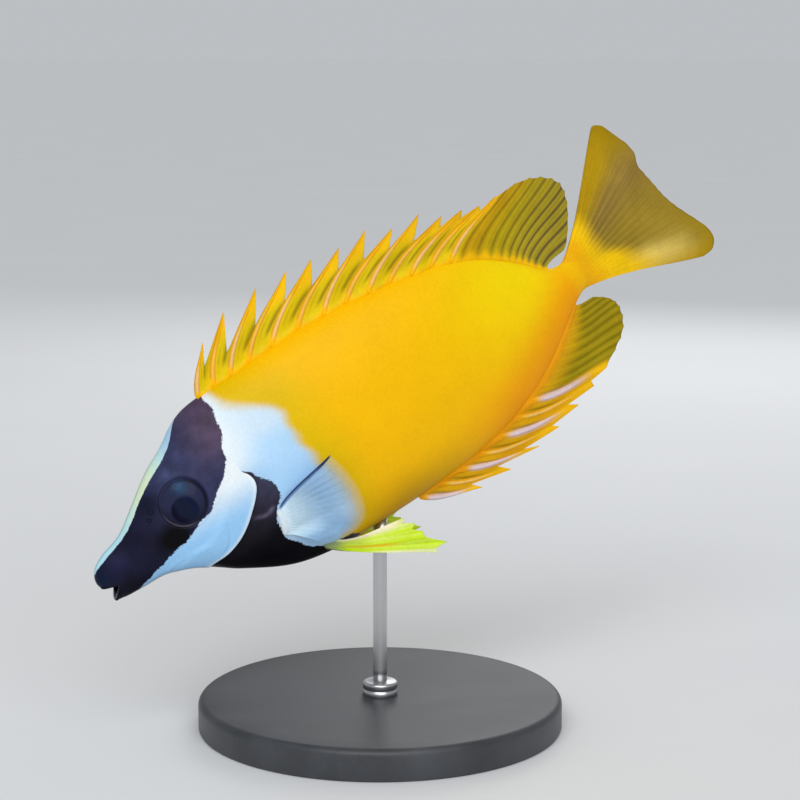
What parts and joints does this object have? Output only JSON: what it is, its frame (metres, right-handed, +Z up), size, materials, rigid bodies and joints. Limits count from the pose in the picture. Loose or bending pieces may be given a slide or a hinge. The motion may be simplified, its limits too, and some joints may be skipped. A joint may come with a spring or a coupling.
{
  "type": "foxface rabbitfish model",
  "caption": "Life-size foxface rabbitfish swimming head down with its tail bent aside, held by a rod on a round base plate.",
  "frame": {"origin": "centre of the underside of the round base plate, on the surface that it stands on", "axes": "+Z up; the fish's midplane at the head and front of the trunk is the XZ plane, with the head towards -X and the fish's right side towards +Y"},
  "size_m": [0.2001, 0.104, 0.1696],
  "materials": {
    "mask_skin": "moist fish skin, dark purple-brown mask with a bluish white blaze and cheek",
    "yellow_skin": "moist fish skin, golden yellow with minute scales, bluish white shoulder and black chest",
    "fin": "thin fin web between raised rays, olive to golden yellow",
    "clear_fin": "nearly clear bluish fin web with fine pale rays",
    "eye": "wet dark eye with a darker pupil",
    "stand_metal": "brushed rod and collar",
    "stand_plate": "honed dark slate"
  },
  "bodies": {
    "root": {"head": "mask_skin", "body": "yellow_skin", "tail": "yellow_skin", "dorsal_fin": "fin", "anal_fin": "fin", "caudal_fin": "fin", "pectoral_fin_left": "clear_fin", "pectoral_fin_right": "clear_fin", "pelvic_fin_left": "fin", "pelvic_fin_right": "fin", "eye_left": "eye", "eye_right": "eye", "stand_rod": "stand_metal", "stand_base": "stand_plate"}
  },
  "joints": []
}
